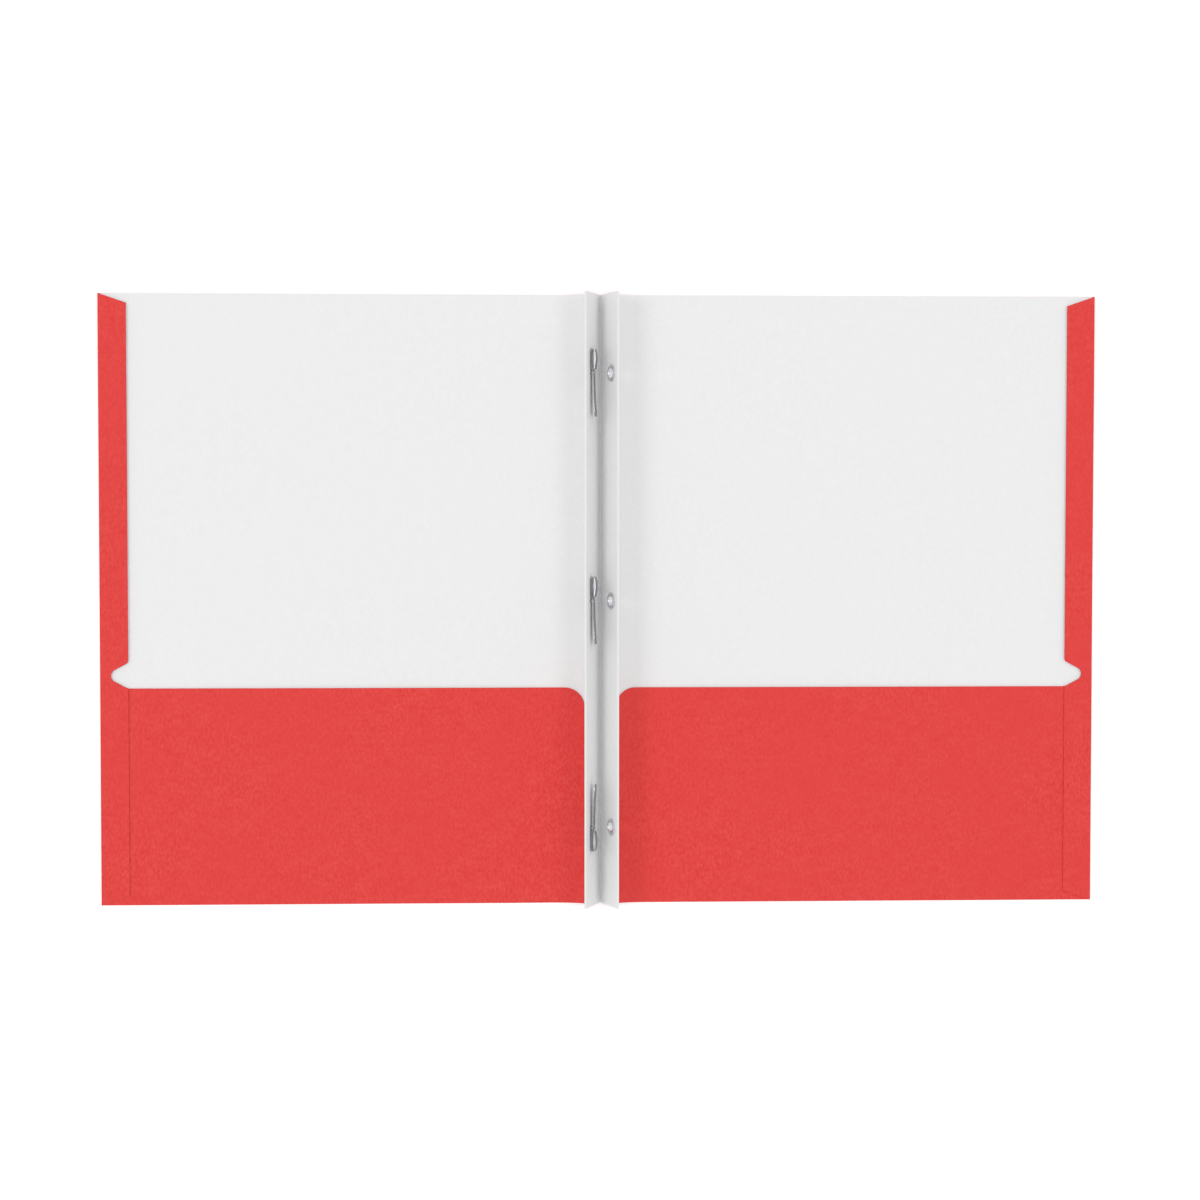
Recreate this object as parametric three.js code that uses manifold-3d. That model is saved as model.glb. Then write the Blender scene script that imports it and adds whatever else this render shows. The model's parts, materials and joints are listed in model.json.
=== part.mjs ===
// Two-pocket card folder with three tang fasteners, lying open and seen from its white inside.
// Millimetres, +Z up, +X across the open folder, +Y towards its top edge.
// The origin is under the middle of the open folder, on the table.
//
// One die-cut card makes everything but the metal. From left to right it is folded as
// side flap, cover, fin, valley crease, fin, cover, side flap, with a pocket under each cover.
// A fin is a strip of the card folded double, so that its red faces lie together.
// The tangs clamp the two plies of the left fin and the eyelets those of the right fin.

import * as THREE from 'three';
import { mergeVertices } from 'three/addons/utils/BufferGeometryUtils.js';
import ManifoldModule from 'manifold-3d';

// Card
const cardThickness = 0.35;
const folderHeight = 292.1;
const coverWidth = 235.8;
const layerGap = 0.08;
const plyGap = 0.25;
const creaseGap = 0.3;
const seamGap = 0.05;

// Spine: two fins that lean apart over the valley crease
const innerWingWidth = 20;
const spineStripWidth = 5.5;
const finLean = THREE.MathUtils.degToRad(21);
const valleyAxisRadius = 0.3;
const spineAxisRadius = 0.6;
const softBendDistance = 12.4;

// Pockets and side flaps
const pocketHeight = 104;
const pocketEdgeInset = 4;
const pocketCornerRadius = 10;
const sideFlapWidth = 13.5;
const sideFlapEndDrop = 4.6;
const notchDepth = 8.2;
const notchHeight = 13.6;
const notchTipHeight = 6.2;
const notchTipRadius = 2.6;
const notchLipRadius = 1.6;
const notchLipDrop = 0.8;

// Fasteners
const holeDistance = 12.7;
const holeSpacing = 107.95;
const fastenerSeat = 0.15;
const metalThickness = 0.35;
const tangWidth = 3.2;
const tangLength = 20;
const tangLift = 0.9;
const tangRootGap = 0.3;
const tangLoopLength = 11.6;
const tangLoopWidth = 2.6;
const tangLoopOpening = 1.2;
const stemThickness = 0.8;
const saddleLength = 9;
const saddleWidth = 4.4;
const saddleCornerRadius = 1.5;
const eyeletRadius = 4;
const eyeletBarrelRadius = 2.9;
const eyeletWall = 0.3;
const eyeletRimHeight = 0.5;
const eyeletBackRadius = 3.7;
const eyeletBackHeight = 0.35;

// Mesh fineness
const curveSteps = 12;
const rimSteps = 6;
const eyeletSides = 40;
const loopSteps = 44;

// A cutting tool reaches this far past what it cuts.
const toolReach = 4;

// Sizes that follow from the driving ones
const halfHeight = folderHeight / 2;
const halfGap = creaseGap / 2;
const finThickness = 2 * cardThickness + plyGap;
const ridgeRadius = finThickness / 2;
const pocketFoldRadius = (2 * cardThickness + layerGap) / 2;
const sideFoldRadius = (3 * cardThickness + 2 * layerGap) / 2;
const pocketTop = pocketHeight - halfHeight;
const finBack = valleyAxisRadius + finThickness;
const spineAxisOffset = finBack + spineAxisRadius;

// A tang starts beside its stem, as far out from the fin's valley face as its loop bulges back.
const tangBack = valleyAxisRadius - fastenerSeat;
const tangRoot = stemThickness / 2 + tangRootGap;
const tangRootHeight = tangLoopWidth / 2;
const loopBulge = (tangLoopWidth - metalThickness) / 2;

// The valley axis stands just high enough for the fold round it to touch the table.
const valleyAxisZ = valleyAxisRadius + cardThickness;
const spineAxisX = spineStripWidth * Math.sin(finLean) + spineAxisOffset * Math.cos(finLean);
const spineAxisZ = valleyAxisZ + spineStripWidth * Math.cos(finLean) - spineAxisOffset * Math.sin(finLean);

// The cover lies flat up to a soft bend and then rises to its spine crease.
const softBendZ = cardThickness + spineAxisRadius;
const edgeSlope = Math.asin((spineAxisZ - softBendZ) / softBendDistance);
const softBendX = spineAxisX + softBendDistance * Math.cos(edgeSlope);
const outerEdgeX = softBendX + coverWidth - softBendDistance;
const coverEndX = outerEdgeX - sideFoldRadius - seamGap;

// How far the card is rolled round the valley axis and the spine axis, up to the gap before the next ply.
const valleyFoldAngle = Math.PI - 2 * finLean - halfGap / (valleyAxisRadius + cardThickness / 2);
const spineFoldAngle = Math.PI / 2 + finLean - edgeSlope - halfGap / (spineAxisRadius + cardThickness / 2);

const wasm = await ManifoldModule();
wasm.setup();

function toSolid(geometry) {
  geometry.deleteAttribute('normal');
  geometry.deleteAttribute('uv');
  const merged = mergeVertices(geometry, 1e-5);
  const mesh = new wasm.Mesh({
    numProp: 3,
    vertProperties: new Float32Array(merged.attributes.position.array),
    triVerts: new Uint32Array(merged.index.array),
  });
  return new wasm.Manifold(mesh);
}

function toGeometry(solid) {
  const mesh = solid.getMesh();
  const geometry = new THREE.BufferGeometry();
  geometry.setAttribute('position', new THREE.BufferAttribute(mesh.vertProperties, 3));
  geometry.setIndex(new THREE.BufferAttribute(mesh.triVerts, 1));
  geometry.computeVertexNormals();
  return geometry;
}

function box(low, high) {
  const size = high.map((value, axis) => value - low[axis]);
  const middle = high.map((value, axis) => (value + low[axis]) / 2);
  return new THREE.BoxGeometry(...size).translate(...middle);
}

// Extrudes a shape drawn in X and Y upwards from bottom to top.
function plate(shape, bottom, top) {
  const options = { depth: top - bottom, bevelEnabled: false, curveSegments: curveSteps };
  return new THREE.ExtrudeGeometry(shape, options).translate(0, 0, bottom);
}

// Extrudes a profile drawn in X and Z along Y.
function runAlongY(shape, low, high) {
  const options = { depth: high - low, bevelEnabled: false, curveSegments: curveSteps };
  return new THREE.ExtrudeGeometry(shape, options).rotateX(Math.PI / 2).translate(0, high, 0);
}

// Extrudes a profile drawn in Y and Z along X.
function runAlongX(shape, low, high) {
  const options = { depth: high - low, bevelEnabled: false, curveSegments: curveSteps };
  const geometry = new THREE.ExtrudeGeometry(shape, options);
  return geometry.rotateX(Math.PI / 2).rotateZ(Math.PI / 2).translate(low, 0, 0);
}

// A ply folded back over itself. The fold is the left end of the profile and touches both axes.
function foldProfile(outerRadius, topPlyEnd) {
  const innerRadius = outerRadius - cardThickness;
  const shape = new THREE.Shape();
  shape.moveTo(topPlyEnd, 2 * outerRadius);
  shape.lineTo(outerRadius, 2 * outerRadius);
  shape.absarc(outerRadius, outerRadius, outerRadius, Math.PI / 2, Math.PI * 1.5, false);
  shape.lineTo(outerRadius, outerRadius - innerRadius);
  shape.absarc(outerRadius, outerRadius, innerRadius, Math.PI * 1.5, Math.PI / 2, true);
  shape.lineTo(topPlyEnd, outerRadius + innerRadius);
  shape.closePath();
  return shape;
}

// Pieces are drawn for the right half. Mirroring the geometry gives the left half.
function handed(geometry, side) {
  return side > 0 ? geometry : toGeometry(toSolid(geometry).mirror([1, 0, 0]));
}

function makeCover() {
  return box(
    [softBendX + halfGap, pocketFoldRadius + seamGap - halfHeight, 0],
    [coverEndX, halfHeight, cardThickness],
  );
}

// The strip between soft bend and spine crease, in a frame whose Y axis is the crease. It ends in the
// fold that rolls up to the fin's outer wing.
function makeCoverEdge() {
  const top = spineAxisRadius;
  const bottom = spineAxisRadius + cardThickness;
  const start = -Math.PI / 2;
  const shape = new THREE.Shape();
  shape.moveTo(softBendDistance - halfGap, -top);
  shape.lineTo(0, -top);
  shape.absarc(0, 0, top, start, start - spineFoldAngle, true);
  shape.absarc(0, 0, bottom, start - spineFoldAngle, start, false);
  shape.lineTo(softBendDistance - halfGap, -bottom);
  shape.closePath();
  return runAlongY(shape, pocketFoldRadius + seamGap - halfHeight, halfHeight);
}

// The pocket's outline between two distances from the spine crease, with its rounded top corner.
function pocketOutline(start, end) {
  const cornerX = pocketEdgeInset + pocketCornerRadius;
  const cornerY = pocketTop - pocketCornerRadius;
  const angleAt = (distance) => {
    const cosine = (distance - cornerX) / pocketCornerRadius;
    return Math.acos(THREE.MathUtils.clamp(cosine, -1, 0));
  };
  const shape = new THREE.Shape();
  shape.moveTo(end, -halfHeight);
  shape.lineTo(start, -halfHeight);
  shape.absarc(cornerX, cornerY, pocketCornerRadius, angleAt(start), angleAt(end), true);
  if (end > cornerX) shape.lineTo(end, pocketTop);
  shape.closePath();
  return shape;
}

// A pocket ply with its fold along the bottom edge, cut to the outline.
function makePocketPly(start, end) {
  const folded = runAlongX(foldProfile(pocketFoldRadius, pocketHeight), start, end);
  folded.translate(0, -halfHeight, 0);
  const outline = plate(pocketOutline(start, end), -cardThickness, 2 * pocketFoldRadius + cardThickness);
  return toGeometry(toSolid(folded).intersect(toSolid(outline)));
}

function makePocket() {
  const developedEnd = softBendDistance + coverEndX - softBendX;
  const ply = makePocketPly(softBendDistance + halfGap, developedEnd);
  return ply.translate(softBendX - softBendDistance, 0, 0);
}

function makePocketEdge() {
  const ply = makePocketPly(pocketEdgeInset, softBendDistance - halfGap);
  return ply.translate(0, 0, -spineAxisRadius - cardThickness);
}

// The side flap seen flat: cut off aslant at both ends, with a finger notch over the pocket's mouth.
function sideFlapOutline() {
  const inner = outerEdgeX - sideFlapWidth;
  const tip = inner + notchDepth;
  const upper = pocketTop + notchHeight;
  const tipY = pocketTop + notchTipHeight;
  const tipStart = tip - notchTipRadius;
  const shape = new THREE.Shape();
  shape.moveTo(outerEdgeX, -halfHeight);
  shape.lineTo(outerEdgeX, halfHeight);
  shape.lineTo(inner, halfHeight - sideFlapEndDrop);
  shape.lineTo(inner, upper + notchLipRadius);
  shape.quadraticCurveTo(inner, upper, inner + notchLipRadius, upper - notchLipDrop);
  shape.bezierCurveTo(tipStart, tipY + 2 * notchTipRadius, tip, tipY + notchTipRadius, tip, tipY);
  shape.bezierCurveTo(tip, tipY - notchTipRadius, tipStart, pocketTop + notchLipRadius, inner, pocketTop);
  shape.lineTo(inner, sideFlapEndDrop - halfHeight);
  shape.closePath();
  return shape;
}

function makeSideFlap() {
  const folded = runAlongY(foldProfile(sideFoldRadius, sideFlapWidth), -halfHeight, halfHeight);
  folded.rotateZ(Math.PI).translate(outerEdgeX, 0, 0);
  const outline = plate(sideFlapOutline(), -cardThickness, 2 * sideFoldRadius + cardThickness);
  return toGeometry(toSolid(folded).intersect(toSolid(outline)));
}

// A fin in its own frame: Z runs from the valley crease to the ridge, X points away from the valley.
// One of the two fins carries the fold that rolls under the valley to the other.
function makeFinCard(hasValleyFold) {
  const ridgeZ = innerWingWidth - ridgeRadius;
  const ridgeX = valleyAxisRadius + ridgeRadius;
  const wingBack = valleyAxisRadius + cardThickness;
  const shape = new THREE.Shape();
  if (hasValleyFold) {
    shape.moveTo(wingBack, 0);
    shape.absarc(0, 0, wingBack, 0, -valleyFoldAngle, true);
    shape.absarc(0, 0, valleyAxisRadius, -valleyFoldAngle, 0, false);
  } else {
    shape.moveTo(wingBack, halfGap);
    shape.lineTo(valleyAxisRadius, halfGap);
  }
  shape.lineTo(valleyAxisRadius, ridgeZ);
  shape.absarc(ridgeX, ridgeZ, ridgeRadius, Math.PI, 0, true);
  shape.lineTo(finBack, spineStripWidth + halfGap);
  shape.lineTo(finBack - cardThickness, spineStripWidth + halfGap);
  shape.lineTo(finBack - cardThickness, ridgeZ);
  shape.absarc(ridgeX, ridgeZ, plyGap / 2, 0, Math.PI, false);
  shape.closePath();
  return runAlongY(shape, -halfHeight, halfHeight);
}

const fastenerHeights = [holeSpacing, 0, -holeSpacing];
const fastenerNames = ['top', 'middle', 'bottom'];

function makeRightFin() {
  let fin = toSolid(makeFinCard(true));
  for (const y of fastenerHeights) {
    const radius = eyeletBarrelRadius + fastenerSeat;
    const length = 2 * (finBack + toolReach);
    const punch = new THREE.CylinderGeometry(radius, radius, length, eyeletSides);
    punch.rotateZ(Math.PI / 2).translate(0, y, holeDistance);
    fin = fin.subtract(toSolid(punch));
  }
  return toGeometry(fin);
}

function makeLeftFin() {
  let fin = toSolid(makeFinCard(false));
  const slotHalfLength = stemThickness / 2 + fastenerSeat;
  const slotHalfWidth = tangWidth / 2 + fastenerSeat;
  for (const y of fastenerHeights) {
    const slot = box(
      [-toolReach, y - slotHalfLength, holeDistance - slotHalfWidth],
      [finBack + toolReach, y + slotHalfLength, holeDistance + slotHalfWidth],
    );
    fin = fin.subtract(toSolid(slot));
  }
  return toGeometry(fin);
}

// An eyelet turned about the hole's axis: a rolled rim in the valley, a barrel, and a flat back rim.
function makeEyelet(y) {
  const bore = eyeletBarrelRadius - eyeletWall;
  const front = valleyAxisRadius - fastenerSeat;
  const back = finBack + fastenerSeat;
  const outline = new THREE.Path();
  const rimCrown = eyeletBarrelRadius + eyeletWall;
  outline.moveTo(bore, back + eyeletBackHeight);
  outline.lineTo(bore, front);
  outline.quadraticCurveTo(bore, front - eyeletRimHeight, rimCrown, front - eyeletRimHeight);
  outline.quadraticCurveTo(eyeletRadius, front - eyeletRimHeight, eyeletRadius, front);
  outline.lineTo(eyeletBarrelRadius, front);
  outline.lineTo(eyeletBarrelRadius, back);
  outline.lineTo(eyeletBackRadius, back);
  outline.lineTo(eyeletBackRadius - eyeletBackHeight / 2, back + eyeletBackHeight);
  outline.closePath();
  const profile = outline.getPoints(rimSteps);
  const ring = toSolid(new THREE.LatheGeometry(profile, eyeletSides));
  return toGeometry(ring).rotateZ(-Math.PI / 2).translate(0, y, holeDistance);
}

// The fixed middle of a tang: a saddle behind the fin and a stem through both plies.
function makeTangSaddle(y) {
  const corner = saddleCornerRadius;
  const halfLength = saddleLength / 2;
  const halfWidth = saddleWidth / 2;
  const outline = new THREE.Shape();
  outline.absarc(halfLength - corner, halfWidth - corner, corner, 0, Math.PI / 2);
  outline.absarc(corner - halfLength, halfWidth - corner, corner, Math.PI / 2, Math.PI);
  outline.absarc(corner - halfLength, corner - halfWidth, corner, Math.PI, Math.PI * 1.5);
  outline.absarc(halfLength - corner, corner - halfWidth, corner, Math.PI * 1.5, Math.PI * 2);
  const saddleFront = finBack + fastenerSeat;
  const saddle = plate(outline, saddleFront, saddleFront + metalThickness);
  saddle.rotateZ(Math.PI / 2).rotateY(Math.PI / 2);
  const stemTop = tangBack - tangRootHeight - metalThickness / 2;
  const stem = box(
    [stemTop, -stemThickness / 2, -tangWidth / 2],
    [saddleFront + metalThickness / 2, stemThickness / 2, tangWidth / 2],
  );
  return toGeometry(toSolid(saddle).add(toSolid(stem))).translate(0, y, holeDistance);
}

// The plan of a tang from its root to its rounded tip, used to trim a straight strip.
function tangPlan() {
  const shoulder = tangLength - tangWidth;
  const shape = new THREE.Shape();
  shape.moveTo(0, -tangWidth / 2);
  shape.lineTo(shoulder, -tangWidth / 2);
  shape.quadraticCurveTo(tangLength, -tangWidth / 2, tangLength, 0);
  shape.quadraticCurveTo(tangLength, tangWidth / 2, shoulder, tangWidth / 2);
  shape.lineTo(0, tangWidth / 2);
  shape.closePath();
  return shape;
}

// A strip of metal of even thickness along a share of a centre line that is drawn in length and height.
function stripProfile(centreLine, steps, share = 1) {
  const left = [];
  const right = [];
  for (let step = 0; step <= steps; step += 1) {
    const place = (step / steps) * share;
    const point = centreLine.getPointAt(place);
    const along = centreLine.getTangentAt(place);
    const across = new THREE.Vector2(-along.y, along.x).multiplyScalar(metalThickness / 2);
    left.push(point.clone().add(across));
    right.unshift(point.clone().sub(across));
  }
  return new THREE.Shape([...left, ...right]);
}

// Extrudes a tang's side profile to its width and trims it to its plan.
function tangFromProfile(profile, plan) {
  const options = { depth: tangWidth, bevelEnabled: false };
  const strip = new THREE.ExtrudeGeometry(profile, options).translate(0, 0, -tangWidth / 2);
  if (!plan) return toSolid(strip);
  const trim = plate(plan, -tangLength, tangLength).rotateX(Math.PI / 2);
  return toSolid(strip).intersect(toSolid(trim));
}

// Sets a tang beside its stem, up or down from the hole.
function placeTang(solid, y, direction) {
  const turned = toGeometry(solid).rotateZ(Math.PI / 2);
  const facing = direction > 0 ? turned : turned.rotateX(Math.PI);
  return facing.translate(tangBack, y + direction * tangRoot, holeDistance);
}

function makeStraightTang(y, direction) {
  const centreLine = new THREE.QuadraticBezierCurve(
    new THREE.Vector2(0, tangRootHeight),
    new THREE.Vector2(tangLength / 2, tangRootHeight),
    new THREE.Vector2(tangLength, tangRootHeight + tangLift),
  );
  return placeTang(tangFromProfile(stripProfile(centreLine, curveSteps), tangPlan()), y, direction);
}

// The curled tang runs out from its root, turns back on itself and ends beside its root, as a teardrop
// whose sides bulge alike. A cubic curve bulges three quarters as far as its two handles.
function makeCurledTang(y, direction) {
  const reach = tangLoopLength - tangRoot - metalThickness / 2;
  const handle = loopBulge / 0.75;
  const shoulder = reach / 4;
  const root = new THREE.Vector2(0, tangRootHeight);
  const tip = new THREE.Vector2(reach, tangRootHeight);
  const outward = new THREE.CubicBezierCurve(
    root,
    new THREE.Vector2(shoulder, tangRootHeight - handle),
    new THREE.Vector2(reach, tangRootHeight - handle),
    tip,
  );
  const homeward = new THREE.CubicBezierCurve(
    tip,
    new THREE.Vector2(reach, tangRootHeight + handle),
    new THREE.Vector2(shoulder, tangRootHeight + handle),
    root,
  );
  const loop = new THREE.CurvePath();
  loop.add(outward);
  loop.add(homeward);
  const share = 1 - tangLoopOpening / loop.getLength();
  return placeTang(tangFromProfile(stripProfile(loop, loopSteps, share)), y, direction);
}

const colours = { card: 0xe5504c, tang: 0xb9bbbe, eyelet: 0xd6d8da };

function addPiece(parent, name, geometry, kind) {
  const metal = kind !== 'card';
  const material = new THREE.MeshStandardMaterial({
    color: colours[kind],
    roughness: metal ? 0.3 : 0.85,
    metalness: metal ? 1 : 0,
  });
  const mesh = new THREE.Mesh(geometry, material);
  mesh.name = name;
  parent.add(mesh);
}

const folder = new THREE.Group();

for (const [sideName, side] of [['right', 1], ['left', -1]]) {
  const cover = new THREE.Group();
  addPiece(cover, `${sideName}_cover`, handed(makeCover(), side), 'card');
  addPiece(cover, `${sideName}_pocket`, handed(makePocket(), side), 'card');
  addPiece(cover, `${sideName}_side_flap`, handed(makeSideFlap(), side), 'card');
  folder.add(cover);

  const coverEdge = new THREE.Group();
  coverEdge.position.set(side * spineAxisX, 0, spineAxisZ);
  coverEdge.rotation.y = side * edgeSlope;
  addPiece(coverEdge, `${sideName}_cover_edge`, handed(makeCoverEdge(), side), 'card');
  addPiece(coverEdge, `${sideName}_pocket_edge`, handed(makePocketEdge(), side), 'card');
  folder.add(coverEdge);

  const fin = new THREE.Group();
  fin.position.set(0, 0, valleyAxisZ);
  fin.rotation.y = side * finLean;
  const finCard = side > 0 ? makeRightFin() : makeLeftFin();
  addPiece(fin, `${sideName}_fin`, handed(finCard, side), 'card');
  fastenerHeights.forEach((y, index) => {
    const place = fastenerNames[index];
    if (side > 0) {
      addPiece(fin, `${place}_eyelet`, makeEyelet(y), 'eyelet');
      return;
    }
    const curlDirection = place === 'bottom' ? -1 : 1;
    addPiece(fin, `${place}_tang_saddle`, handed(makeTangSaddle(y), side), 'tang');
    addPiece(fin, `${place}_curled_tang`, handed(makeCurledTang(y, curlDirection), side), 'tang');
    addPiece(fin, `${place}_straight_tang`, handed(makeStraightTang(y, -curlDirection), side), 'tang');
  });
  folder.add(fin);
}

export default folder;
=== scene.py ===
"""A red two-pocket card folder with tang fasteners, lying open on a white table."""

import json
import math

import bmesh
import bpy
from mathutils import Matrix, Vector, noise


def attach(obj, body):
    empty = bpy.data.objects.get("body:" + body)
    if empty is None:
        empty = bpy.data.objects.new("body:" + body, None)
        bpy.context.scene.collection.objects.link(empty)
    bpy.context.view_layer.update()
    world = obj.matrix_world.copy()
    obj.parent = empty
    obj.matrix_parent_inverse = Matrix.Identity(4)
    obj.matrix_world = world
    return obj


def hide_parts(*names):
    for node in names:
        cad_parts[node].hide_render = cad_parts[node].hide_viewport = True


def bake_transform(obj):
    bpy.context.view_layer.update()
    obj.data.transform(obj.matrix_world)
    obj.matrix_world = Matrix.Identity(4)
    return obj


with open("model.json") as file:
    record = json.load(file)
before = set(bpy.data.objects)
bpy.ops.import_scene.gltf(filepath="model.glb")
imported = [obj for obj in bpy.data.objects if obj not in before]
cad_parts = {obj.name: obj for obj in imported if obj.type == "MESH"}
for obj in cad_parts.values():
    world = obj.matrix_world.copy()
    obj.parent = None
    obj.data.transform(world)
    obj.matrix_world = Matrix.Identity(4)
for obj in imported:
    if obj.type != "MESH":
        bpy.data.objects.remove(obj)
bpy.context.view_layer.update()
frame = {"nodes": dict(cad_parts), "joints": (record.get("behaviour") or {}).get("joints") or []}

# Real sizes of the folder, in metres
CARD = 0.00035
PLY_GAP = 0.00025
LAYER_GAP = 0.00008
FOLDER_HEIGHT = 0.2921
COVER_WIDTH = 0.2358
SOFT_BEND_DISTANCE = 0.0124
SOFT_BEND_REACH = 0.0065
SPINE_STRIP = 0.0055
WING_WIDTH = 0.020
FIN_LEAN = math.radians(21)
VALLEY_RADIUS = 0.0003
SPINE_RADIUS = 0.0006
POCKET_HEIGHT = 0.104
POCKET_EDGE_INSET = 0.004
POCKET_CORNER = 0.010
POCKET_SIDE_CLEARANCE = 0.0004
FLAP_WIDTH = 0.0135
FLAP_END_DROP = 0.0046
NOTCH_DEPTH = 0.0082
NOTCH_HEIGHT = 0.0136
NOTCH_TIP_HEIGHT = 0.0061
NOTCH_TIP_RADIUS = 0.0031
NOTCH_FLANK = math.radians(62)
NOTCH_LIP_EASE = 0.0008
NOTCH_CORNER = 0.0006
HOLE_DISTANCE = 0.0127
HOLE_SPACING = 0.10795
EYELET_HOLE = 0.00305
SLOT_LENGTH = 0.0011
SLOT_WIDTH = 0.0035

HALF_HEIGHT = FOLDER_HEIGHT / 2
MIDDLE = CARD / 2
POCKET_TOP = POCKET_HEIGHT - HALF_HEIGHT
POCKET_FOLD = (2 * CARD + LAYER_GAP) / 2
SIDE_FOLD = (3 * CARD + 2 * LAYER_GAP) / 2
RIDGE_RADIUS = (2 * CARD + PLY_GAP) / 2
FIN_BACK = VALLEY_RADIUS + 2 * CARD + PLY_GAP
FLAP_LEAST_REACH = 1.02 * SIDE_FOLD
PUNCH_DEPTH = 4 * FIN_BACK
SIDES = (("back", "right", 1), ("front", "left", -1))
FASTENER_HEIGHTS = (HOLE_SPACING, 0.0, -HOLE_SPACING)

joint_places = {joint["name"]: Vector(joint["pos_m"]) for joint in frame["joints"] if "pos_m" in joint}
SPINE_AXIS = joint_places["back_spine_crease"]
BEND_AXIS = joint_places["back_soft_bend"]
VALLEY_AXIS = joint_places["valley_crease"]
EDGE_SLOPE = math.atan2(SPINE_AXIS.z - BEND_AXIS.z, BEND_AXIS.x - SPINE_AXIS.x)

# How the card departs from flat, in metres: its free corners curl, and it waves and gapes a little
CURL_HEIGHT = 0.0005
CURL_START = 0.09
CURL_BOTTOM = -0.02
WAVE_HEIGHT = 0.00022
WAVE_LENGTH = 0.055
WAVE_START = 0.02
WAVE_RISE = 0.03
WAVE_SEED = 7.3
POCKET_GAPE = 0.0004
GAPE_START = 0.016
GAPE_RISE = 0.03
GAPE_FALL = 0.12
FLAP_LIFT = 0.0002
FLAP_LIFT_RISE = 0.02

# How rubbed a fold is, and how wide the rubbed line is in metres
FOLD_WEAR = 0.22
FOLD_WEAR_WIDTH = 0.0005

# How finely the sheets are divided: steps and fine zones in metres, and turns between a fold's rows
COVER_STEP = 0.0002
BEND_STEP = 0.0012
FLAT_STEP = 0.006
BOTTOM_STEP = 0.0013
LONG_EDGE_STEP = 0.005
FLAP_END_STEP = 0.0006
NOTCH_STEP = 0.0002
WING_STEP = 0.0025
COVER_BEND_ZONE = 0.024
POCKET_BEND_ZONE = 0.020
OUTER_ZONE = 0.004
BOTTOM_ZONE = 0.003
PLY_TURN = math.pi / 10
RIDGE_TURN = math.pi / 12
CREASE_TURN = math.pi / 20
CORNER_TURN = math.pi / 36
FLAP_COLUMNS = 10
HOLE_SIDES = 48
CARD_SHARP_ANGLE = math.radians(40)
METAL_SHARP_ANGLE = math.radians(35)
WELD_DISTANCE = 1e-7
ROUNDING = 1e-9


def smooth(value):
    """Rises gently from 0 to 1 as the value does, and stays there outside that range."""
    value = min(max(value, 0.0), 1.0)
    return value * value * (3 - 2 * value)


# Camera, at the place from which the open view was taken

# The photo's open view: pixels per metre, the point right under the camera, and the folder's centre
PHOTO_SCALE = 1210.2
PHOTO_AXIS_PIXEL = Vector((544.0, 955.0))
PHOTO_CENTRE_PIXEL = Vector((604.0, 994.0))
CAMERA_HEIGHT = 1.04
FRAME_PIXELS = 1200.0
SHOWN_SCALE = 2080.0
SENSOR_WIDTH = 36.0
LENS_SHIFT = 0.02
NEAREST_SHOWN = 0.01


def make_camera():
    """Stands where the photo's camera stood over the folder, and is turned towards the folder's middle."""
    offset = (PHOTO_AXIS_PIXEL - PHOTO_CENTRE_PIXEL) / PHOTO_SCALE
    place = Vector((offset.x, -offset.y, CAMERA_HEIGHT))
    aim = Vector((-LENS_SHIFT * FRAME_PIXELS / SHOWN_SCALE, 0, 0))
    data = bpy.data.cameras.new("camera")
    data.sensor_width = SENSOR_WIDTH
    data.lens = SENSOR_WIDTH * SHOWN_SCALE * (place - aim).length / FRAME_PIXELS
    data.shift_x = LENS_SHIFT
    data.clip_start = NEAREST_SHOWN
    camera = bpy.data.objects.new("camera", data)
    bpy.context.scene.collection.objects.link(camera)
    forward = (aim - place).normalized()
    right = forward.cross(Vector((0, 1, 0))).normalized()
    up = right.cross(forward)
    turn = Matrix((right, up, -forward)).transposed()
    camera.matrix_world = Matrix.Translation(place) @ turn.to_4x4()
    bpy.context.scene.camera = camera


make_camera()


# Materials


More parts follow.
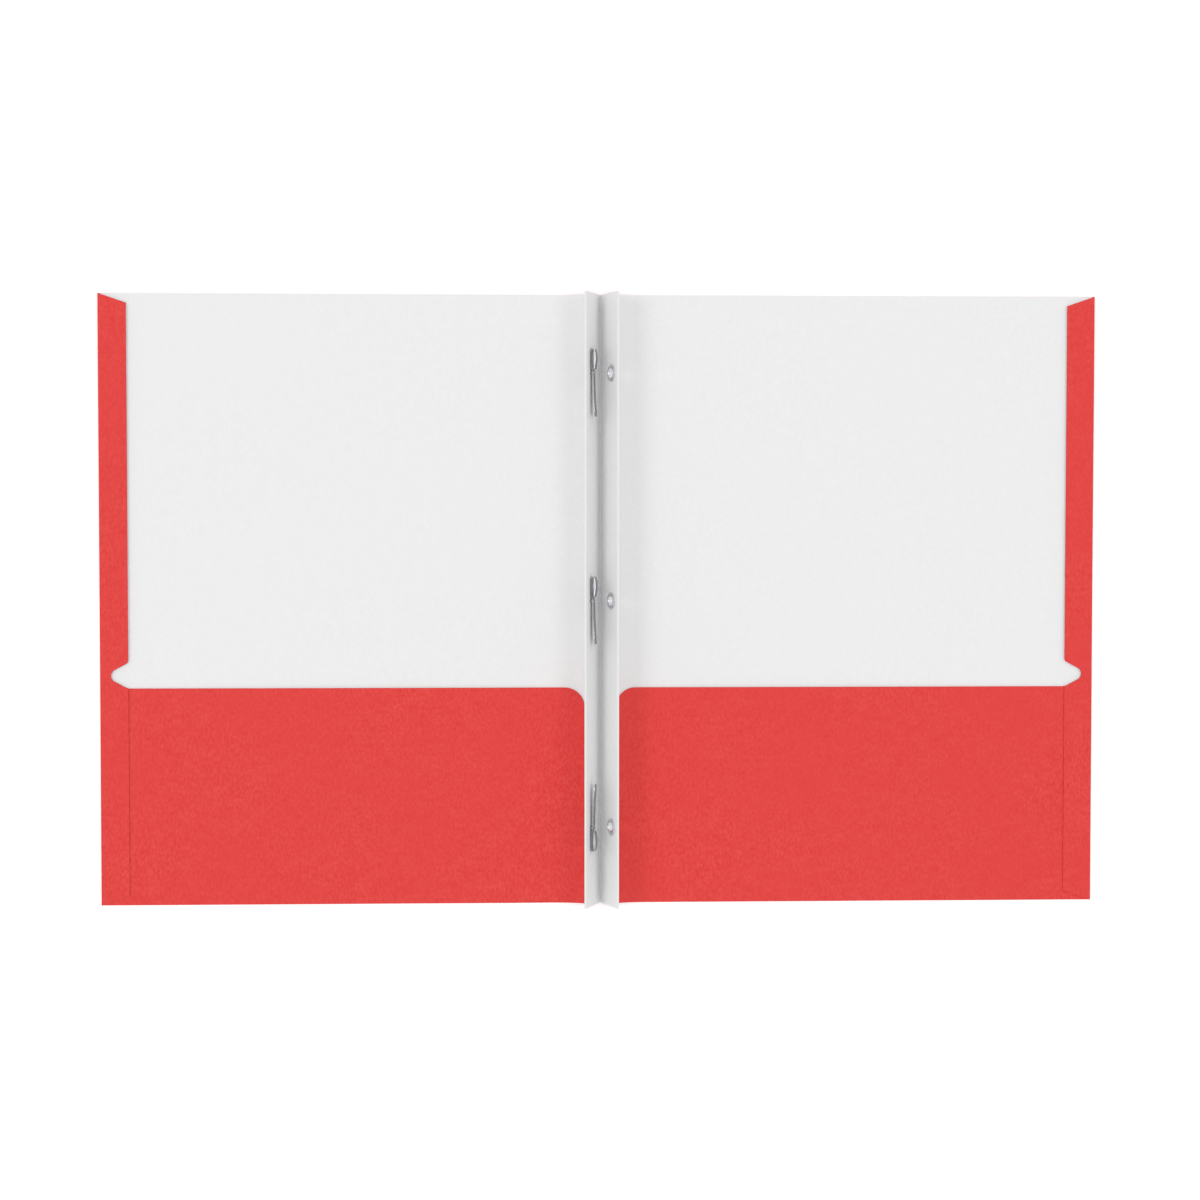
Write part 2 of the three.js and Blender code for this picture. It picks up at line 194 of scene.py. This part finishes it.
class Nodes:
    """A short way to write a material's node tree."""

    def __init__(self, name):
        self.material = bpy.data.materials.new(name)
        self.material.use_nodes = True
        self.tree = self.material.node_tree
        self.tree.nodes.clear()
        self.output = self.add("ShaderNodeOutputMaterial")

    def add(self, kind, **settings):
        node = self.tree.nodes.new(kind)
        for key, value in settings.items():
            setattr(node, key, value)
        return node

    def link(self, source, target):
        self.tree.links.new(source, target)

    def coordinates(self, stretch):
        place = self.add("ShaderNodeTexCoord")
        mapping = self.add("ShaderNodeMapping")
        mapping.inputs["Scale"].default_value = stretch
        self.link(place.outputs["Object"], mapping.inputs["Vector"])
        return mapping.outputs["Vector"]

    def noise(self, scale, detail=3.0, rough=0.55, stretch=(1, 1, 1)):
        node = self.add("ShaderNodeTexNoise")
        node.inputs["Scale"].default_value = scale
        node.inputs["Detail"].default_value = detail
        node.inputs["Roughness"].default_value = rough
        self.link(self.coordinates(stretch), node.inputs["Vector"])
        return node.outputs["Fac"]

    def math(self, operation, first, second):
        """One arithmetic step on a socket, with a number or another socket."""
        node = self.add("ShaderNodeMath", operation=operation)
        self.link(first, node.inputs[0])
        if isinstance(second, float):
            node.inputs[1].default_value = second
        else:
            self.link(second, node.inputs[1])
        return node.outputs[0]

    def mix(self, factor, first, second):
        """A blend of two colours, each a socket or red, green and blue."""
        node = self.add("ShaderNodeMix", data_type="RGBA", blend_type="MIX")
        self.link(factor, node.inputs[0])
        for socket, colour in zip((node.inputs[6], node.inputs[7]), (first, second)):
            if isinstance(colour, tuple):
                socket.default_value = (*colour, 1.0)
            else:
                self.link(colour, socket)
        return node.outputs[2]

    def span(self, value, low, high, out_low=0.0, out_high=1.0):
        node = self.add("ShaderNodeMapRange")
        self.link(value, node.inputs["Value"])
        node.inputs["From Min"].default_value = low
        node.inputs["From Max"].default_value = high
        node.inputs["To Min"].default_value = out_low
        node.inputs["To Max"].default_value = out_high
        return node.outputs["Result"]

    def bump(self, height, strength, distance):
        node = self.add("ShaderNodeBump")
        node.inputs["Strength"].default_value = strength
        node.inputs["Distance"].default_value = distance
        self.link(height, node.inputs["Height"])
        return node.outputs["Normal"]

    def finish(self, shader):
        self.link(shader.outputs[0], self.output.inputs["Surface"])
        return self.material


SRGB_LEVELS = 255
SRGB_OFFSET = 0.055
SRGB_POWER = 2.4


def srgb(red, green, blue):
    """A colour given as it looks on screen, 0 to 255, turned into linear light."""
    shares = [level / SRGB_LEVELS for level in (red, green, blue)]
    return tuple(((share + SRGB_OFFSET) / (1 + SRGB_OFFSET)) ** SRGB_POWER for share in shares)


MOTTLE_SHARE = 0.2
MOTTLE_RELIEF = 0.6
CARD_GRAIN_DEPTH = 0.00006
CARD_SHINE = 0.15


def make_card(name, base, deep, pale, worn, grain):
    """Uncoated card: fine fibre grain, soft mottling, and folds where the surface is rubbed."""
    nodes = Nodes(name)
    shader = nodes.add("ShaderNodeBsdfPrincipled")
    mottle = nodes.noise(scale=170.0, detail=4.0)
    fibre = nodes.noise(scale=900.0, detail=5.0, rough=0.65, stretch=(1.0, 0.55, 1.0))
    cloud = nodes.noise(scale=14.0, detail=2.0)
    mottle_part = nodes.math("MULTIPLY", mottle, MOTTLE_SHARE)
    fibre_part = nodes.math("MULTIPLY", fibre, 1 - MOTTLE_SHARE)
    tone = nodes.math("ADD", mottle_part, fibre_part)
    colour = nodes.mix(nodes.span(tone, low=0.36, high=0.64), deep, pale)
    evening = nodes.span(cloud, low=0.3, high=0.7, out_low=0.25, out_high=0.75)
    colour = nodes.mix(evening, colour, base)
    wear = nodes.add("ShaderNodeAttribute", attribute_name="wear")
    patchy = nodes.span(fibre, low=0.42, high=0.62, out_low=0.35, out_high=1.0)
    rubbed = nodes.math("MULTIPLY", wear.outputs["Fac"], patchy)
    colour = nodes.mix(rubbed, colour, worn)
    nodes.link(colour, shader.inputs["Base Color"])
    roughness = nodes.span(fibre, low=0.3, high=0.7, out_low=0.76, out_high=0.92)
    nodes.link(roughness, shader.inputs["Roughness"])
    shader.inputs["Specular IOR Level"].default_value = CARD_SHINE
    height = nodes.math("ADD", fibre, nodes.math("MULTIPLY", mottle, MOTTLE_RELIEF))
    nodes.link(nodes.bump(height, grain, CARD_GRAIN_DEPTH), shader.inputs["Normal"])
    return nodes.finish(shader)


METAL_GRAIN = 0.25
METAL_GRAIN_DEPTH = 0.00002


def make_metal(name, base, shade, smoothest, roughest):
    """Plated sheet metal: drawn along its length, with faint handling marks."""
    nodes = Nodes(name)
    shader = nodes.add("ShaderNodeBsdfPrincipled")
    drawn = nodes.noise(scale=2200.0, detail=2.0, stretch=(1.0, 0.06, 1.0))
    marks = nodes.noise(scale=900.0, detail=4.0, stretch=(1.0, 0.3, 1.0))
    colour = nodes.mix(nodes.span(marks, low=0.35, high=0.65), base, shade)
    nodes.link(colour, shader.inputs["Base Color"])
    roughness = nodes.span(drawn, low=0.3, high=0.7, out_low=smoothest, out_high=roughest)
    nodes.link(roughness, shader.inputs["Roughness"])
    shader.inputs["Metallic"].default_value = 1.0
    nodes.link(nodes.bump(drawn, METAL_GRAIN, METAL_GRAIN_DEPTH), shader.inputs["Normal"])
    return nodes.finish(shader)


RED = make_card(
    "red_card", base=srgb(226, 70, 67), deep=srgb(217, 54, 53), pale=srgb(235, 87, 82),
    worn=srgb(236, 104, 97), grain=0.4)
WHITE = make_card(
    "white_card", base=srgb(237, 237, 237), deep=srgb(234, 233, 234), pale=srgb(240, 240, 240),
    worn=srgb(243, 243, 243), grain=0.2)
# The cut edges are a darker red than the card: painted shade, standing in for the thin dark shadow lines
# along the seams, notch and cut ends.
CUT_EDGE_SHADE = make_card(
    "cut_edge_painted_shade", base=srgb(182, 62, 60), deep=srgb(170, 52, 51), pale=srgb(194, 74, 70),
    worn=srgb(194, 74, 70), grain=0.4)
# The tang steel is darker than bare steel: painted shade, standing in for the darker surroundings that the
# prongs reflect.
STEEL = make_metal(
    "tang_steel", base=(0.37, 0.38, 0.40), shade=(0.31, 0.32, 0.34), smoothest=0.22, roughest=0.36)
CHROME = make_metal(
    "eyelet_plating", base=(0.74, 0.75, 0.77), shade=(0.60, 0.61, 0.63), smoothest=0.12, roughest=0.24)


# Card sheets, white on top and red underneath

# The edge slot's material carries the cut edges' painted shade.
SHEET_MATERIALS = (WHITE, RED, CUT_EDGE_SHADE)
TOP_SLOT, UNDER_SLOT, EDGE_SLOT = 0, 1, 2


def sheet_faces(row_count, column_count):
    """The faces of a closed sheet, whose lower points are listed after its upper ones, and their slots."""
    under = row_count * column_count
    faces = []
    slots = []
    for row in range(row_count - 1):
        for column in range(column_count - 1):
            corner = row * column_count + column
            beyond = corner + column_count
            faces.append((corner, corner + 1, beyond + 1, beyond))
            slots.append(TOP_SLOT)
            faces.append((under + corner, under + beyond, under + beyond + 1, under + corner + 1))
            slots.append(UNDER_SLOT)
    first = list(range(column_count))
    last = [(row_count - 1) * column_count + column for column in range(column_count)]
    left = [row * column_count for row in range(row_count)]
    right = [row * column_count + column_count - 1 for row in range(row_count)]
    for line, flip in ((first, False), (last, True), (left, True), (right, False)):
        for here, there in zip(line, line[1:]):
            face = (here, under + here, under + there, there)
            faces.append(face[::-1] if flip else face)
            slots.append(EDGE_SLOT)
    return faces, slots


def build_sheet(name, rows, wear):
    """Makes a closed sheet of card from rows of (middle point, normal), with its wear at each point."""
    vertices = []
    for offset in (MIDDLE, -MIDDLE):
        vertices += [point + normal * offset for row in rows for point, normal in row]
    faces, slots = sheet_faces(len(rows), len(rows[0]))
    mesh = bpy.data.meshes.new(name)
    mesh.from_pydata(vertices, [], faces)
    for material in SHEET_MATERIALS:
        mesh.materials.append(material)
    mesh.polygons.foreach_set("material_index", slots)
    values = [value for row in wear for value in row]
    attribute = mesh.attributes.new("wear", "FLOAT", "POINT")
    attribute.data.foreach_set("value", values + values)
    mesh.shade_smooth()
    mesh.validate()
    piece = bpy.data.objects.new(name, mesh)
    bpy.context.scene.collection.objects.link(piece)
    close_sheet(piece)
    mesh.set_sharp_from_angle(angle=CARD_SHARP_ANGLE)
    return piece


def close_sheet(piece):
    """Joins the points that a narrow row end puts together, and turns every face outwards."""
    work = bmesh.new()
    work.from_mesh(piece.data)
    bmesh.ops.remove_doubles(work, verts=work.verts, dist=WELD_DISTANCE)
    bmesh.ops.recalc_face_normals(work, faces=work.faces)
    work.to_mesh(piece.data)
    work.free()


def steps(start, end, size):
    """Even steps no longer than size from start to end, both included."""
    count = max(1, math.ceil(abs(end - start) / size - ROUNDING))
    return [start + (end - start) * i / count for i in range(count + 1)]


def joined(*lists):
    """Lists of steps run together, with the shared ends taken once."""
    result = list(lists[0])
    for values in lists[1:]:
        result += values[1:]
    return result


def spread(values, count):
    """The same run of values with another number of them."""
    result = []
    for i in range(count):
        place = i * (len(values) - 1) / (count - 1)
        index = min(int(place), len(values) - 2)
        result.append(values[index] + (values[index + 1] - values[index]) * (place - index))
    return result


def cover_path():
    """(x, z, slope) along the cover's middle line from the spine crease: down, round the bend, then flat.

    It is walked inwards from the flat part, so that the flat part lies where the frame says. What is missing
    at the spine crease is then shared out over the bend.
    """
    count = round(COVER_WIDTH / COVER_STEP)
    x = BEND_AXIS.x + COVER_WIDTH - SOFT_BEND_DISTANCE
    z = MIDDLE
    points = []
    for i in range(count, -1, -1):
        distance = i * COVER_STEP
        share = smooth((distance - SOFT_BEND_DISTANCE + SOFT_BEND_REACH) / (2 * SOFT_BEND_REACH))
        slope = EDGE_SLOPE * (1 - share)
        points.append((x, z, slope))
        x -= COVER_STEP * math.cos(slope)
        z += COVER_STEP * math.sin(slope)
    points.reverse()
    foot = SPINE_AXIS + Vector((-math.sin(EDGE_SLOPE), 0, -math.cos(EDGE_SLOPE))) * (SPINE_RADIUS + MIDDLE)
    miss_x = foot.x - points[0][0]
    miss_z = foot.z - points[0][1]
    reach = SOFT_BEND_DISTANCE + SOFT_BEND_REACH
    fitted = []
    for i, (x, z, slope) in enumerate(points):
        share = 1 - smooth(i * COVER_STEP / reach)
        fitted.append((x + miss_x * share, z + miss_z * share, slope))
    return fitted


COVER_POINTS = cover_path()
# Just short of the last point, so that there is always a next one
LAST_PLACE = len(COVER_POINTS) - 1.001


def cover_lift(distance, y, side):
    """How far the card stands off the table: its upper outer corner curls up, and it is never quite flat."""
    outward = smooth((distance - CURL_START) / (COVER_WIDTH - CURL_START))
    upward = smooth((y - CURL_BOTTOM) / (HALF_HEIGHT - CURL_BOTTOM))
    curl = CURL_HEIGHT * outward * outward * upward
    wave = noise.noise(Vector((distance / WAVE_LENGTH, y / WAVE_LENGTH, WAVE_SEED * side)))
    edge = smooth((distance - WAVE_START) / WAVE_RISE)
    return curl + WAVE_HEIGHT * edge * (1 + wave) / 2


def on_cover(distance, y, side, height=0.0):
    """(point, normal) at a distance from the spine crease and a height over the cover's middle surface."""
    place = min(max(distance / COVER_STEP, 0.0), LAST_PLACE)
    index = int(place)
    share = place - index
    x, z, slope = (a + (b - a) * share for a, b in zip(COVER_POINTS[index], COVER_POINTS[index + 1]))
    overshoot = distance - min(max(distance, 0.0), COVER_WIDTH)
    normal = Vector((math.sin(slope), 0, math.cos(slope)))
    point = Vector((x + overshoot, 0, z)) + normal * height
    lift = cover_lift(distance, y, side)
    return Vector((side * point.x, y, point.z + lift)), Vector((side * normal.x, 0, normal.z))


def fold_wear(distance):
    """How rubbed the card is at a distance from a fold."""
    return FOLD_WEAR * (1 - smooth(distance / FOLD_WEAR_WIDTH))


def fold_rows(radius):
    """(inset, height, turn) along a ply folded back over itself, from the lower ply to the upper one."""
    inner = radius - MIDDLE
    turns = steps(0, math.pi, PLY_TURN)
    return [(radius - inner * math.sin(turn), inner * (1 - math.cos(turn)), turn) for turn in turns]


def make_cover(node, side):
    """The cover's sheet, from the spine crease to the folds along its bottom and outer edges."""
    distances = joined(
        steps(0, COVER_BEND_ZONE, BEND_STEP),
        steps(COVER_BEND_ZONE, COVER_WIDTH - OUTER_ZONE, FLAT_STEP),
        steps(COVER_WIDTH - OUTER_ZONE, COVER_WIDTH - SIDE_FOLD, BEND_STEP))
    heights = joined(
        steps(POCKET_FOLD - HALF_HEIGHT, BOTTOM_ZONE - HALF_HEIGHT, BOTTOM_STEP),
        steps(BOTTOM_ZONE - HALF_HEIGHT, HALF_HEIGHT, FLAT_STEP))
    rows = [[on_cover(d, y, side) for d in distances] for y in heights]
    wear = [[fold_wear(y + HALF_HEIGHT) + fold_wear(COVER_WIDTH - d) for d in distances] for y in heights]
    piece = build_sheet(f"{node}_cover_card", rows, wear)
    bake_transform(piece)
    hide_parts(f"{node}_cover", f"{node}_cover_edge")


def pocket_start(y):
    """The pocket's edge beside the spine, with its rounded top corner."""
    above = y - (POCKET_TOP - POCKET_CORNER)
    if above <= 0:
        return POCKET_EDGE_INSET
    return POCKET_EDGE_INSET + POCKET_CORNER - math.sqrt(max(POCKET_CORNER**2 - above**2, 0.0))


def pocket_path():
    """(y, height, turn) up the pocket ply: round the fold at its bottom, then flat to its top."""
    corner = [POCKET_TOP - POCKET_CORNER * (1 - math.sin(a)) for a in steps(0, math.pi / 2, CORNER_TURN)]
    flat = joined(steps(POCKET_FOLD - HALF_HEIGHT, POCKET_TOP - POCKET_CORNER, LONG_EDGE_STEP), corner)
    fold = [(inset - HALF_HEIGHT, height, turn) for inset, height, turn in fold_rows(POCKET_FOLD)]
    upper_height = fold[-1][1]
    return fold + [(y, upper_height, math.pi) for y in flat[1:]]


def bottom_fold_normal(normal, turn):
    """The white side's normal on the fold along the bottom edge, from facing up to facing down."""
    return normal * math.cos(turn) + Vector((0, math.sin(turn), 0))


def make_pocket(node, side):
    """The pocket ply: folded up from the bottom edge, open at its top and beside the spine."""
    end = COVER_WIDTH - SIDE_FOLD - POCKET_SIDE_CLEARANCE
    rows = []
    wear = []
    for y, height, turn in pocket_path():
        start = pocket_start(y)
        columns = joined(
            steps(start, start + POCKET_BEND_ZONE, BEND_STEP),
            steps(start + POCKET_BEND_ZONE, end, FLAT_STEP))
        if rows:
            columns = spread(columns, len(rows[0]))
        gape = POCKET_GAPE * smooth((y + HALF_HEIGHT) / POCKET_HEIGHT)
        row = []
        for distance in columns:
            open_share = smooth((distance - GAPE_START) / GAPE_RISE) * smooth((end - distance) / GAPE_FALL)
            point, normal = on_cover(distance, y, side, height + gape * open_share)
            row.append((point, bottom_fold_normal(normal, turn)))
        rows.append(row)
        wear.append([fold_wear(y + HALF_HEIGHT)] * len(row))
    piece = build_sheet(f"{node}_pocket_card", rows, wear)
    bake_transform(piece)
    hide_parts(f"{node}_pocket", f"{node}_pocket_edge")


def notch_depth(height):
    """The finger notch's depth by height over the pocket's top: a V with a round tip and an eased lip."""
    if height <= 0 or height >= NOTCH_HEIGHT:
        return 0.0
    rise = abs(height - NOTCH_TIP_HEIGHT)
    round_rise = NOTCH_TIP_RADIUS * math.sin(NOTCH_FLANK)
    if rise < round_rise:
        retreat = NOTCH_TIP_RADIUS - math.sqrt(NOTCH_TIP_RADIUS**2 - rise**2)
    else:
        straight = (rise - round_rise) * math.tan(NOTCH_FLANK)
        retreat = NOTCH_TIP_RADIUS * (1 - math.cos(NOTCH_FLANK)) + straight
    depth = NOTCH_DEPTH - retreat
    eased = (depth + math.hypot(depth, NOTCH_LIP_EASE)) / 2
    return eased * min(1.0, height / NOTCH_CORNER) * smooth((NOTCH_HEIGHT - height) / NOTCH_CORNER)


def flap_reach(y):
    """How far the side flap reaches in from the outer edge: cut off aslant at both ends, and notched."""
    from_end = HALF_HEIGHT - abs(y)
    reach = FLAP_WIDTH
    if from_end < FLAP_END_DROP:
        reach = max(FLAP_WIDTH * from_end / FLAP_END_DROP, FLAP_LEAST_REACH)
    return min(reach, FLAP_WIDTH - notch_depth(y - POCKET_TOP))


def side_fold_normal(normal, turn, side):
    """The white side's normal on the fold along the outer edge, from facing up to facing down."""
    return normal * math.cos(turn) + Vector((-side * math.sin(turn), 0, 0))


def make_side_flap(body, node, side):
    """The flap folded in along the outer edge: loose beside the cover, glued down over the pocket."""
    fold = fold_rows(SIDE_FOLD)
    upper_height = fold[-1][1]
    heights = joined(
        steps(-HALF_HEIGHT, FLAP_END_DROP - HALF_HEIGHT, FLAP_END_STEP),
        steps(FLAP_END_DROP - HALF_HEIGHT, POCKET_TOP, LONG_EDGE_STEP),
        steps(POCKET_TOP, POCKET_TOP + NOTCH_HEIGHT, NOTCH_STEP),
        steps(POCKET_TOP + NOTCH_HEIGHT, HALF_HEIGHT - FLAP_END_DROP, LONG_EDGE_STEP),
        steps(HALF_HEIGHT - FLAP_END_DROP, HALF_HEIGHT, FLAP_END_STEP))
    rows = []
    for y in heights:
        reach = flap_reach(y)
        loose = smooth((y - POCKET_TOP - NOTCH_TIP_HEIGHT) / FLAP_LIFT_RISE)
        row = []
        for inset, height, turn in fold:
            point, normal = on_cover(COVER_WIDTH - inset, y, side, height)
            row.append((point, side_fold_normal(normal, turn, side)))
        for share in steps(0, 1, 1 / FLAP_COLUMNS)[1:]:
            inset = SIDE_FOLD + (reach - SIDE_FOLD) * share
            lift = FLAP_LIFT * loose * inset / FLAP_WIDTH
            point, normal = on_cover(COVER_WIDTH - inset, y, side, upper_height + lift)
            row.append((point, -normal))
        rows.append(row)
    wear = [[fold_wear(inset) for inset, _, _ in fold] + [0.0] * FLAP_COLUMNS for _ in rows]
    piece = build_sheet(f"{node}_side_flap_card", rows, wear)
    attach(piece, f"{body}_cover")
    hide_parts(f"{node}_side_flap")


# The double-fin spine

FIN_HEIGHTS = steps(-HALF_HEIGHT, HALF_HEIGHT, FLAT_STEP)


def leant(away, along):
    """X and Z of a step in a leaning fin's own frame: away from the valley, and along the fin upwards."""
    x = away * math.cos(FIN_LEAN) + along * math.sin(FIN_LEAN)
    z = along * math.cos(FIN_LEAN) - away * math.sin(FIN_LEAN)
    return x, z


def fin_point(away, along, y, side):
    """A point given in a fin's own frame, which starts at the valley crease."""
    x, z = leant(away, along)
    return Vector((side * x, y, VALLEY_AXIS.z + z))


def fin_path():
    """(away, along, turn) up a fin's inner wing, over its ridge and down its outer wing."""
    ridge = WING_WIDTH - RIDGE_RADIUS
    ridge_away = VALLEY_RADIUS + RIDGE_RADIUS
    inner = RIDGE_RADIUS - MIDDLE
    path = [(VALLEY_RADIUS + MIDDLE, along, math.pi) for along in steps(0, ridge, WING_STEP)]
    for turn in steps(math.pi, 0, RIDGE_TURN)[1:]:
        path.append((ridge_away + inner * math.cos(turn), ridge + inner * math.sin(turn), turn))
    return path + [(FIN_BACK - MIDDLE, along, 0.0) for along in steps(ridge, SPINE_STRIP, WING_STEP)[1:]]


def make_fin(body, node, side):
    """A strip of card folded double over its ridge, white outside, with the fasteners' holes."""
    path = fin_path()
    rows = []
    for y in FIN_HEIGHTS:
        row = []
        for away, along, turn in path:
            normal_x, normal_z = leant(math.cos(turn), math.sin(turn))
            row.append((fin_point(away, along, y, side), Vector((side * normal_x, 0, normal_z))))
        rows.append(row)
    wear = [[fold_wear(abs(WING_WIDTH - along)) for _, along, _ in path] for _ in rows]
    piece = build_sheet(f"{node}_fin_card", rows, wear)
    punch_fin(piece, side)
    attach(piece, f"{body}_fin")
    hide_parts(f"{node}_fin")


def make_punch(side):
    """The round punch of the back fin's eyelet holes, or the flat one of the front fin's slots."""
    if side > 0:
        bpy.ops.mesh.primitive_cylinder_add(vertices=HOLE_SIDES, radius=EYELET_HOLE, depth=PUNCH_DEPTH)
        punch = bpy.context.object
        punch.data.transform(Matrix.Rotation(math.pi / 2, 4, "Y"))
    else:
        bpy.ops.mesh.primitive_cube_add(size=1)
        punch = bpy.context.object
        punch.data.transform(Matrix.Diagonal((PUNCH_DEPTH, SLOT_LENGTH, SLOT_WIDTH, 1)))
    return punch


def punch_fin(piece, side):
    """Cuts the fasteners' holes through both plies of a fin."""
    for y in FASTENER_HEIGHTS:
        punch = make_punch(side)
        punch.data.transform(Matrix.Rotation(side * FIN_LEAN, 4, "Y"))
        punch.data.transform(Matrix.Translation(fin_point(FIN_BACK / 2, HOLE_DISTANCE, y, side)))
        # The hole walls take the cut edges' painted shade.
        punch.data.materials.append(CUT_EDGE_SHADE)
        cut = piece.modifiers.new("punch", "BOOLEAN")
        cut.operation = "DIFFERENCE"
        cut.object = punch
        cut.solver = "EXACT"
        cut.material_mode = "TRANSFER"
        bpy.context.view_layer.update()
        cut_mesh = bpy.data.meshes.new_from_object(piece.evaluated_get(bpy.context.evaluated_depsgraph_get()))
        piece.modifiers.clear()
        piece.data = cut_mesh
        bpy.data.objects.remove(punch)


def make_crease(name, axis, side, radius, turns):
    """The card rolled round a crease's axis, from the sheet of one body to that of the next."""
    rows = []
    for y in FIN_HEIGHTS:
        centre = Vector((side * axis.x, y, axis.z))
        row = []
        for turn in turns:
            out = Vector((side * math.cos(turn), 0, math.sin(turn)))
            row.append((centre + out * radius, -out))
        rows.append(row)
    wear = [[FOLD_WEAR] * len(turns) for _ in rows]
    piece = build_sheet(name, rows, wear)
    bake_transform(piece)


def make_spine_fold(node, side):
    """The fold round the spine crease, between the cover's edge strip and the fin's outer wing."""
    turns = steps(-(math.pi / 2 + EDGE_SLOPE), -(math.pi + FIN_LEAN), CREASE_TURN)
    make_crease(
        f"{node}_spine_fold_card", SPINE_AXIS, side, SPINE_RADIUS + MIDDLE, turns)


def make_valley_fold():
    """The fold under the valley, between the two fins' inner wings."""
    turns = steps(-FIN_LEAN, FIN_LEAN - math.pi, CREASE_TURN)
    make_crease("valley_fold_card", VALLEY_AXIS, 1, VALLEY_RADIUS + MIDDLE, turns)


for body_name, node_name, side_sign in SIDES:
    make_cover(node_name, side_sign)
    make_pocket(node_name, side_sign)
    make_side_flap(body_name, node_name, side_sign)
    make_fin(body_name, node_name, side_sign)
    make_spine_fold(node_name, side_sign)
make_valley_fold()


# Metal pieces, which keep their solids


def finish_metal(word, material):
    """Gives the nodes that are named with a word their metal and smooth shading."""
    for name, piece in frame["nodes"].items():
        if word in name:
            piece.data.materials.clear()
            piece.data.materials.append(material)
            piece.data.shade_smooth()
            piece.data.set_sharp_from_angle(angle=METAL_SHARP_ANGLE)


finish_metal("tang", STEEL)
finish_metal("eyelet", CHROME)


# Table, light and background

FLOOR_SIZE = 12.0
FLOOR_DROP = 0.0001
FLOOR_DARKER = (0.93, 0.93, 0.93)
FLOOR_LIGHTER = (0.95, 0.95, 0.95)
FLOOR_ROUGHNESS = 0.9
FLOOR_SHINE = 0.1
FLOOR_GLOW = 0.24
AMBIENT_STRENGTH = 0.79
BACKDROP_STRENGTH = 1.0
WHITE_LIGHT = (1.0, 1.0, 1.0, 1.0)


def make_floor():
    """A white table that keeps the folder's shadow, and to the camera is just bright enough to be white."""
    nodes = Nodes("table")
    shader = nodes.add("ShaderNodeBsdfPrincipled")
    tone = nodes.noise(scale=30.0)
    nodes.link(nodes.mix(tone, FLOOR_DARKER, FLOOR_LIGHTER), shader.inputs["Base Color"])
    shader.inputs["Roughness"].default_value = FLOOR_ROUGHNESS
    shader.inputs["Specular IOR Level"].default_value = FLOOR_SHINE
    path = nodes.add("ShaderNodeLightPath")
    glow = nodes.add("ShaderNodeEmission")
    seen_glow = nodes.math("MULTIPLY", path.outputs["Is Camera Ray"], FLOOR_GLOW)
    nodes.link(seen_glow, glow.inputs["Strength"])
    both = nodes.add("ShaderNodeAddShader")
    nodes.link(shader.outputs[0], both.inputs[0])
    nodes.link(glow.outputs[0], both.inputs[1])
    bpy.ops.mesh.primitive_plane_add(size=FLOOR_SIZE)
    floor = bpy.context.object
    floor.name = "table_top"
    floor.location.z = -FLOOR_DROP
    floor.data.materials.append(nodes.finish(both))


def make_world():
    """White to the camera and in reflections, and an even, softer light on the object."""
    world = bpy.data.worlds.new("studio")
    bpy.context.scene.world = world
    world.use_nodes = True
    tree = world.node_tree
    tree.nodes.clear()
    output = tree.nodes.new("ShaderNodeOutputWorld")
    path = tree.nodes.new("ShaderNodeLightPath")
    mix = tree.nodes.new("ShaderNodeMixShader")
    backdrop_ray = path.outputs["Is Camera Ray"]
    for kind in ("Is Glossy Ray", "Is Transmission Ray"):
        either = tree.nodes.new("ShaderNodeMath")
        either.operation = "MAXIMUM"
        tree.links.new(backdrop_ray, either.inputs[0])
        tree.links.new(path.outputs[kind], either.inputs[1])
        backdrop_ray = either.outputs[0]
    tree.links.new(backdrop_ray, mix.inputs["Fac"])
    for socket, strength in ((mix.inputs[1], AMBIENT_STRENGTH), (mix.inputs[2], BACKDROP_STRENGTH)):
        background = tree.nodes.new("ShaderNodeBackground")
        background.inputs["Color"].default_value = WHITE_LIGHT
        background.inputs["Strength"].default_value = strength
        tree.links.new(background.outputs[0], socket)
    tree.links.new(mix.outputs[0], output.inputs["Surface"])


def make_lamp(name, place, size, power):
    """A round studio lamp that points at the folder."""
    data = bpy.data.lights.new(name, "AREA")
    data.shape = "DISK"
    data.size = size
    data.energy = power
    lamp = bpy.data.objects.new(name, data)
    bpy.context.scene.collection.objects.link(lamp)
    lamp.location = place
    lamp.rotation_euler = (-Vector(place)).to_track_quat("-Z", "Y").to_euler()


make_floor()
make_world()
make_lamp("left", place=(-2.7, 0.4, 3.5), size=1.8, power=31.0)
make_lamp("right", place=(2.2, 0.3, 3.85), size=1.8, power=24.0)
bpy.context.scene.view_settings.view_transform = "Standard"
